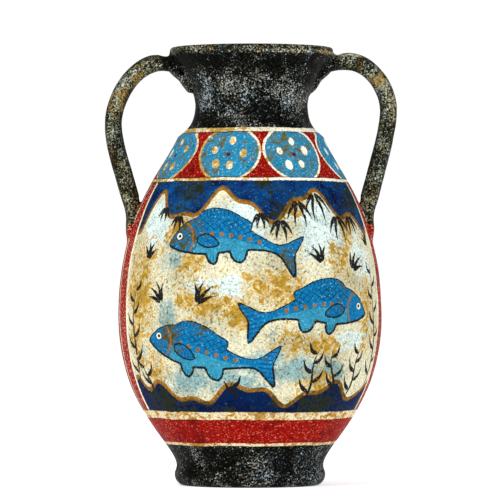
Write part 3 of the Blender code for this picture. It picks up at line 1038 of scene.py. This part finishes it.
def painted_skin(colours, slip, weathered):
    """All of the outside: slip, frieze, picture, bands and the lines between them."""
    material, p, shader = new_paint("painted_skin")
    p.where = p.node("ShaderNodeTexCoord", "Object")
    x, y, z = p.parts(p.where)
    height = z * 1000.0
    slow = p.sway(1.5, 45.0, 1.0)
    quick = p.sway(0.8, 620.0, 2.0)
    level = height + (slow + quick)
    ink = colours.ink

    def past(value, edge, fade=BAND_FADE):
        return p.ramp(value, edge - fade, edge + fade)

    def above(edge):
        return past(level, edge)

    def band(low, high):
        return above(low) * (1 - above(high))

    def inside(depth):
        return past(depth + quick, 0.0, BRUSH_FADE)

    def line(depth, half):
        return inside(half - abs(depth))

    def far(u, v):
        return p.math("SQRT", u * u + v * v)

    def weather(*values):
        return p.group(weathered, *values)[0]

    # Ground of the picture: cream, with paler and misty washes and ochre patches
    across, up, _ = p.parts(p.stored("panel", "Vector"))
    ochre_wash, pale_wash, misty_wash = p.parts(p.stored("wash", "Vector"))
    soil = p.stored("soil")
    ragged = p.sway(2.2, 65.0, 5.0, 0.8)
    paler = p.ramp(pale_wash + ragged, 0.25, 0.75)
    misty = p.ramp(misty_wash + ragged + p.sway(1.4, 520.0, 3.0), 0.25, 0.95)
    ground = p.lay(
        colours.cream, (ochre_wash * 0.18, (0.56, 0.42, 0.14)), (paler, colours.pale),
        (misty, colours.mist),
    )
    staining = ochre_wash * 0.56 + 0.46 - p.either(paler, misty) * 0.16
    ground = weather(ground, colours.stain, staining, PALE_GRIT, 0.5)
    soot_zone = p.either(misty, p.ramp(ragged, 0.0, 0.5), soil, ochre_wash)
    soot_edge = 0.60 - soot_zone * 0.065
    soot = p.ramp(p.noise(720.0, 3.0), soot_edge, soot_edge + 0.10)
    ground = p.mix(soot * 0.8, ground, (0.12, 0.11, 0.04))
    ground = p.mix(soil * 0.45, ground, (0.55, 0.52, 0.38), "MULTIPLY")

    # Rocks with their ochre edging
    rock = p.stored("rock") + slow * 0.4
    dark = p.ramp(p.noise(110.0, 5.0, 0.6, 0.62), 0.42, 0.66)
    bright = p.ramp(p.noise(60.0, 4.0, 0.5), 0.50, 0.68)
    low_rock = p.fall(up, 70.0, 120.0)
    blue = p.lay(
        colours.deep_blue, (dark, colours.navy), (bright, (0.003, 0.080, 0.250)),
        (low_rock * 0.88, colours.navy),
    )
    blue_soil, blue_grit = soil * 0.40 + 0.50, 0.85 - low_rock * 0.35
    blue = weather(blue, (0.018, 0.024, 0.008), blue_soil, (0.04, 0.22, 0.46), blue_grit)
    edging = p.mix(p.ramp(rock, -0.2, 1.2) * 0.6, colours.ochre, (0.15, 0.065, 0.010))
    edging = weather(edging, (0.10, 0.06, 0.012), 0.74, (0.80, 0.52, 0.14), 0.8)

    # Brush strokes
    strokes = 0.0
    for number in range(INK_LAYERS):
        offset, half, _ = p.parts(p.stored(f"ink_{number}", "Vector"))
        strokes = p.either(line(offset, half), strokes)
    worn = 1 - p.ramp(p.noise(900.0, 1.0), 0.60, 0.70) * 0.35

    # Fish: a back netted with scales, a pale belly, a row of spots, fins and a dark outline
    fish, fins = p.stored("fish"), p.stored("fins")
    along, rise, _ = p.parts(p.stored("along_fish", "Vector"))

    def stripes(place, spacing, low, high):
        return p.ramp(p.math("SINE", place * (math.tau / spacing)), low, high)

    def circle(u, v, radius):
        """Depth inside a circle round one place on the fish."""
        return radius - far(along - u, rise - v)

    trunk = p.span(along, 22.5, 23.5, 91.0, 93.0)
    belly = p.fall(rise, -1.9, -1.1) * trunk
    net = p.either(*[stripes(rise * slant + along, 6.6, 0.84, 0.97) for slant in (1.3, -1.3)])
    scales = net * trunk * p.span(rise, 3.6, 4.4, 14.0, 15.0)
    outer_fins = p.either(p.ramp(rise, 15.6, 16.6), p.fall(rise, -16.2, -15.2))
    rays = outer_fins * stripes(along, 2.8, 0.55, 0.95)
    tail_rays = p.ramp(along, 99.0, 101.0) * stripes(rise, 3.4, 0.6, 0.95)
    drawn = p.either(scales, rays, tail_rays) * 0.7
    skin = p.lay(colours.back_blue, (belly, colours.belly_blue), (drawn, colours.navy))
    skin = weather(skin, FISH_STAIN, soil * 0.55 + 0.40, FISH_GRIT, 0.8)
    brown = weather((0.30, 0.12, 0.018), (0.12, 0.09, 0.03), 0.4, (0.6, 0.4, 0.12), 0.5)
    spots = inside(1.7 - far(p.math("WRAP", along, 4.0, -4.0), rise - 1.2))
    spots = spots * p.span(along, 27.0, 28.5, 83.5, 85.0)
    gill = line(circle(6.0, 0.0, 17.0), 0.8) * p.ramp(along, 14.0, 16.0)
    mouth = line(rise + along * 0.12 + 2.3, 0.3) * p.fall(along, 5.5, 6.5)
    skin = p.lay(
        skin, (spots, brown), (gill, brown), (inside(circle(10.5, 3.6, 3.3)), ink),
        (inside(circle(10.5, 3.6, 2.7)), (0.75, 0.78, 0.72)),
        (inside(circle(10.8, 3.6, 1.3)), ink), (mouth, ink),
    )
    fin_rays = stripes(along + rise, 3.2, 0.6, 0.95) * 0.5
    fin_skin = p.mix(fin_rays, colours.back_blue, colours.navy)
    fin_skin = weather(fin_skin, FISH_STAIN, 0.5, FISH_GRIT, 0.8)
    heavier = p.fall(rise, -3.0, 3.0) * 0.30 + 0.32
    picture = p.lay(
        ground, (inside(rock), blue), (line(rock, 1.2), edging), (strokes * worn, ink),
        (inside(fish), skin), (line(fish, heavier) * worn, ink),
        (inside(fins), fin_skin), (line(fins, 0.42) * worn, ink),
    )

    # Sides of the picture, and the red strips under the handles
    cream_paint = weather((0.84, 0.78, 0.58), colours.stain, 0.50, PALE_GRIT, 0.5)
    band_paint = weather((0.76, 0.68, 0.44), (0.42, 0.20, 0.02), 0.72, (0.86, 0.84, 0.7), 0.6)
    red_paint = weather(colours.red, (0.15, 0.003, 0.002), 0.62, (0.60, 0.17, 0.10), 1.15)
    strip_paint = weather(red_paint, (0.13, 0.03, 0.012), 0.45, (0.72, 0.46, 0.30), 1.1)
    sideways = abs(across) + slow
    strips = past(sideways, PANEL_EDGE)
    tail_lines = line(sideways - TAIL_LINE, 0.7) * (1 - p.stored("luted"))
    side_lines = p.either(line(sideways - PANEL_EDGE, 1.1), tail_lines)

    # Frieze of spotted discs
    disc_x, disc_y, _ = p.parts(p.stored("disc", "Vector"))
    from_centre = far(disc_x, disc_y)
    rim = DISC_RADIUS - (from_centre + slow)
    spot_x, spot_y, spot_size = p.parts(p.stored("spot", "Vector"))
    dot = (spot_size - far(spot_x / 1.9, spot_y / 2.7)) * 2.1
    disc = weather(colours.disc_blue, (0.12, 0.11, 0.03), 0.66, (0.50, 0.72, 0.80), 0.95)
    yellowed = 0.92 - p.ramp(x, -0.014, 0.012) * 0.38
    ring_paint = weather((0.92, 0.88, 0.70), colours.stain, yellowed, PALE_GRIT, 0.5)
    frieze = p.lay(
        red_paint, (inside(rim), disc), (inside(rim + DISC_RING) * (1 - inside(rim)), ring_paint),
        (inside(dot), ring_paint), (inside(1.3 - from_centre), (0.09, 0.012, 0.03)),
    )

    # Bands one over the other, and thin dark lines where they meet
    thin = p.either(
        band(PICTURE_TOP - 0.5, PICTURE_TOP), band(FRIEZE_FOOT, FRIEZE_FOOT + 0.5),
        band(FRIEZE_TOP - 0.5, FRIEZE_TOP), band(CREAM_BAND_TOP, CREAM_BAND_TOP + 0.5),
        band(RED_BAND_TOP - 0.4, RED_BAND_TOP),
    )
    broken = p.ramp(p.noise(140.0, 2.0), 0.36, 0.52)
    skin_colour = p.lay(
        picture, (strips, strip_paint), (side_lines, cream_paint),
        (above(PICTURE_TOP), ring_paint), (above(FRIEZE_FOOT), frieze),
        (above(FRIEZE_TOP), ring_paint), (1 - above(CREAM_BAND_TOP), band_paint),
        (1 - above(RED_BAND_TOP), red_paint), (1 - above(FOOT_LINE_TOP), band_paint),
        (thin * broken * 0.9, ink),
    )

    # Black slip on the neck, the handles and the foot, with painted highlights and shade in its grit
    round_end = (y * 1000.0) ** 2.0 * 0.07
    luted = p.stored("luted") * past(level - round_end, HANDLE_SLIP_FOOT)
    lip = p.ramp(level, 243.5, 246.5)
    handles = luted * p.ramp(abs(x), 0.045, 0.056)
    # Painted highlight and shade: more pale grit on the handles' front and back faces, so their inner
    # and outer edges stay darker
    handle_face_highlight = handles * p.ramp(abs(y), 0.0022, 0.0060)
    # Painted shade: the neck's extra grit fades out below the lip, so the band just under the lip stays
    # darker as the lip's shadow; it also fades towards the neck's foot
    neck = p.span(height, 207.0, 219.0, 228.0, 240.0)
    # Painted highlight: a lighter band of grit along the lip's lower edge, over its right half
    lip_highlight = p.span(level, 244.8, 245.6, 246.9, 247.7) * p.ramp(x, -0.004, 0.012)
    grit = 0.31 - p.ramp(height, 100.0, 150.0) * 0.14
    for place, more in ((handles, 0.10), (handle_face_highlight, 0.24), (lip, 0.28), (neck, 0.30), (lip_highlight, 0.30)):
        grit = place * more + grit
    warmth = p.either(lip * 0.7, handles)
    black, black_relief = p.group(slip, grit, warmth)
    slipped = p.either(above(NECK_SLIP_FOOT), 1 - above(FOOT_SLIP_TOP), luted)
    olive = p.mix(warmth * 0.04, black, (0.16, 0.14, 0.04))
    olive = p.mix(warmth, olive, (0.92, 0.88, 0.66), "MULTIPLY")
    relief = p.noise(900.0, 2.0) * (1 - slipped) + black_relief * slipped
    gloss = p.noise(120.0, 2.0) * 0.22 + 0.38
    finish_paint(p, shader, p.mix(slipped, skin_colour, olive), relief, gloss, 0.00018)
    return material


def mouth_slip(colours, slip, weathered):
    """Inside: black slip run in at the mouth, giving way to bare clay down the neck."""
    material, p, shader = new_paint("mouth_slip")
    p.where = p.node("ShaderNodeTexCoord", "Object")
    height = p.parts(p.where)[2] * 1000.0
    slipped = p.ramp(height + p.sway(26.0, 60.0, 3.0), 221.0, 224.0)
    stain, grit = (0.24, 0.14, 0.08), (0.66, 0.54, 0.40)
    clay, relief = p.group(weathered, colours.clay, stain, 0.4, grit, 0.6)
    black, _ = p.group(slip, 0.4)
    finish_paint(p, shader, p.mix(slipped, clay, black), relief, 0.62, 0.0002)
    return material


def bare_clay(colours, weathered):
    """Underside: unglazed clay, with turning rings in its relief."""
    material, p, shader = new_paint("bare_clay")
    p.where = p.node("ShaderNodeTexCoord", "Object")
    rings = p.node("ShaderNodeTexWave", "Fac", {
        "Vector": p.where, "Scale": 140.0, "Distortion": 1.5, "Detail": 1.0,
    }, wave_type="RINGS", rings_direction="Z")
    stain, grit = (0.20, 0.12, 0.07), (0.70, 0.60, 0.46)
    clay, relief = p.group(weathered, colours.clay, stain, 0.35, grit, 0.7)
    finish_paint(p, shader, clay, relief + rings * 0.8, 0.8, 0.0003)
    return material


def aim_at(obj, height):
    """Turns a light or a camera to face this height on the vase's axis."""
    aim = Vector((0, 0, height)) - obj.location
    obj.rotation_euler = aim.to_track_quat("-Z", "Y").to_euler()


# Operators

class VASE_OT_throw_body(bpy.types.Operator):
    """Throw the hollow body on its foot"""

    bl_idname = "vase.throw_body"
    bl_label = "Throw Body"

    def execute(self, context):
        turn_body(context.scene.vase_sizes)
        return {"FINISHED"}


class VASE_OT_lute_handles(bpy.types.Operator):
    """Bend two handles and join them to the body"""

    bl_idname = "vase.lute_handles"
    bl_label = "Lute Handles"

    def execute(self, context):
        sizes = context.scene.vase_sizes
        line = outside_line(sizes, MM)
        coils = []
        for side in (-1, 1):
            coils.append(handle(sizes, line, side))
            coils.append(smear(line, side))
        lute(bpy.data.objects["painted_vase"], coils)
        return {"FINISHED"}


class VASE_OT_paint(bpy.types.Operator):
    """Draw the picture, the frieze and the bands, and give the vase its paints"""

    bl_idname = "vase.paint"
    bl_label = "Paint"

    def execute(self, context):
        body = bpy.data.objects["painted_vase"]
        finish = draw_picture(body, outside_line(context.scene.vase_sizes, MM))
        colours = context.scene.vase_colours
        slip = speckled_slip_group(colours)
        weathered = weathered_paint_group()
        for mark in list(body.data.materials):
            bpy.data.materials.remove(mark)
        body.data.materials.clear()
        for paint in (
            painted_skin(colours, slip, weathered), mouth_slip(colours, slip, weathered),
            bare_clay(colours, weathered),
        ):
            body.data.materials.append(paint)
        body.data.polygons.foreach_set("material_index", finish)
        body.data.shade_smooth()
        only(body)
        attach(body, "root")
        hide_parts("vase")
        return {"FINISHED"}


class VASE_OT_stage(bpy.types.Operator):
    """Lay a pale floor and set the lights and the camera"""

    bl_idname = "vase.stage"
    bl_label = "Stage"

    def execute(self, context):
        floor = added(
            bpy.ops.mesh.primitive_circle_add, vertices=96, radius=14.0, fill_type="NGON",
        )
        floor.name = "studio_floor"
        material, _, shader = new_paint("studio_floor")
        shader.inputs["Roughness"].default_value = 0.9
        shader.inputs["Base Color"].default_value = (0.94, 0.94, 0.94, 1)
        shader.inputs["Emission Color"].default_value = (1, 1, 1, 1)
        shader.inputs["Emission Strength"].default_value = 0.52
        floor.data.materials.append(material)

        world = bpy.data.worlds.new("studio")
        world.use_nodes = True
        context.scene.world = world
        sky = Palette(world.node_tree)
        background = world.node_tree.nodes["Background"]
        background.inputs["Color"].default_value = (1, 1, 1, 1)
        seen = sky.node("ShaderNodeLightPath", "Is Camera Ray")
        sky.feed(background.inputs["Strength"], seen * 0.45 + 0.58)

        for name, place, size, power in (
            ("key_softbox", (-0.9, -1.2, 1.5), 1.0, 18.0),
            ("fill_softbox", (1.2, -1.5, 1.0), 1.2, 8.0),
        ):
            light = added(bpy.ops.object.light_add, type="AREA", location=place)
            light.name = name
            light.data.size = size
            light.data.energy = power
            aim_at(light, 0.125)

        turn = math.radians(-3.5)
        distance = 2.46
        place = (math.sin(turn) * distance, -math.cos(turn) * distance, 0.111)
        camera = added(bpy.ops.object.camera_add, location=place)
        camera.name = "photo_camera"
        aim_at(camera, 0.1343)
        camera.data.lens = 309.6
        camera.data.clip_end = 50
        context.scene.camera = camera
        context.scene.view_settings.view_transform = "Standard"
        return {"FINISHED"}


class VASE_PT_sidebar(bpy.types.Panel):
    bl_label = "Painted Vase"
    bl_idname = "VASE_PT_sidebar"
    bl_space_type = "VIEW_3D"
    bl_region_type = "UI"
    bl_category = "Vase"

    def draw(self, context):
        layout = self.layout
        for operator in OPERATORS:
            layout.operator(operator.bl_idname)
        for group in (context.scene.vase_sizes, context.scene.vase_colours):
            box = layout.box()
            for name in group.__annotations__:
                box.prop(group, name)


OPERATORS = (VASE_OT_throw_body, VASE_OT_lute_handles, VASE_OT_paint, VASE_OT_stage)
CLASSES = (VaseSizes, VaseColours, *OPERATORS, VASE_PT_sidebar)


def register():
    for cls in CLASSES:
        bpy.utils.register_class(cls)
    bpy.types.Scene.vase_sizes = PointerProperty(type=VaseSizes)
    bpy.types.Scene.vase_colours = PointerProperty(type=VaseColours)


def unregister():
    del bpy.types.Scene.vase_colours
    del bpy.types.Scene.vase_sizes
    for cls in reversed(CLASSES):
        bpy.utils.unregister_class(cls)


def main():
    register()
    bpy.ops.vase.throw_body()
    bpy.ops.vase.lute_handles()
    bpy.ops.vase.paint()
    bpy.ops.vase.stage()


if __name__ == "__main__":
    main()
